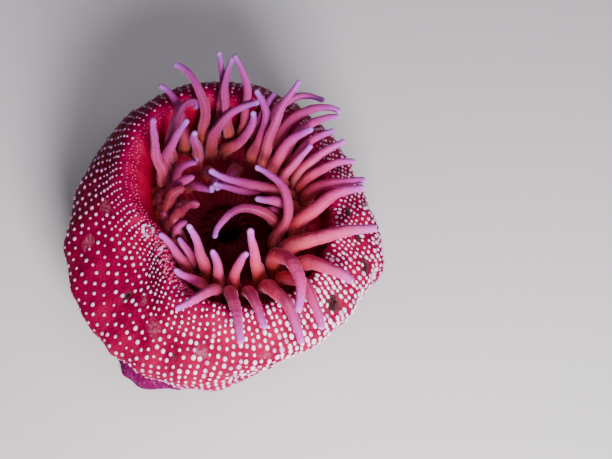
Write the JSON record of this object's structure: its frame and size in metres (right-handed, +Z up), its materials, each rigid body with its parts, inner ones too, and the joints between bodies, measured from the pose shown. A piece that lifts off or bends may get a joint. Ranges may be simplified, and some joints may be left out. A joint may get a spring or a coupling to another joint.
{
  "type": "white-spotted rose anemone",
  "caption": "Squat barrel-shaped sea anemone, half closed, with a rolled collar round a sunken disc of tapering curved tentacles.",
  "frame": {"origin": "centre of the foot's flat underside, in the plane that the anemone rests on", "axes": "+Z up from the foot to the crown; -Y towards the side with fewest upright tentacles, where the collar can be seen over from above; +X to the side whose tentacles drape over the collar"},
  "size_m": [0.1195, 0.1191, 0.0859],
  "materials": {
    "foot_skin": "wet, smooth",
    "column_skin": "wet, satin",
    "collar_skin": "wet, smooth",
    "disc_skin": "wet, smooth",
    "tentacle_skin": "wet, translucent",
    "verruca_skin": "wet, glossy"
  },
  "bodies": {
    "root": {"pedal_disc": "foot_skin", "column": "column_skin", "collar": "collar_skin", "oral_disc": "disc_skin", "mouth": "disc_skin", "tentacle_01": "tentacle_skin", "tentacle_02": "tentacle_skin", "tentacle_03": "tentacle_skin", "tentacle_04": "tentacle_skin", "tentacle_05": "tentacle_skin", "tentacle_06": "tentacle_skin", "tentacle_07": "tentacle_skin", "tentacle_08": "tentacle_skin", "tentacle_09": "tentacle_skin", "tentacle_10": "tentacle_skin", "tentacle_11": "tentacle_skin", "tentacle_12": "tentacle_skin", "tentacle_13": "tentacle_skin", "tentacle_14": "tentacle_skin", "tentacle_15": "tentacle_skin", "tentacle_16": "tentacle_skin", "tentacle_17": "tentacle_skin", "tentacle_18": "tentacle_skin", "tentacle_19": "tentacle_skin", "tentacle_20": "tentacle_skin", "tentacle_21": "tentacle_skin", "tentacle_22": "tentacle_skin", "tentacle_23": "tentacle_skin", "tentacle_24": "tentacle_skin", "tentacle_25": "tentacle_skin", "tentacle_26": "tentacle_skin", "tentacle_27": "tentacle_skin", "tentacle_28": "tentacle_skin", "tentacle_29": "tentacle_skin", "tentacle_30": "tentacle_skin", "tentacle_31": "tentacle_skin", "tentacle_32": "tentacle_skin", "tentacle_33": "tentacle_skin", "tentacle_34": "tentacle_skin", "tentacle_35": "tentacle_skin", "tentacle_36": "tentacle_skin", "tentacle_37": "tentacle_skin", "tentacle_38": "tentacle_skin", "tentacle_39": "tentacle_skin", "tentacle_40": "tentacle_skin", "tentacle_41": "tentacle_skin", "tentacle_42": "tentacle_skin", "tentacle_43": "tentacle_skin", "tentacle_44": "tentacle_skin", "tentacle_45": "tentacle_skin", "tentacle_46": "tentacle_skin", "tentacle_47": "tentacle_skin", "tentacle_48": "tentacle_skin", "tentacle_49": "tentacle_skin", "tentacle_50": "tentacle_skin", "tentacle_51": "tentacle_skin", "tentacle_52": "tentacle_skin", "tentacle_53": "tentacle_skin", "tentacle_54": "tentacle_skin"}
  },
  "joints": []
}
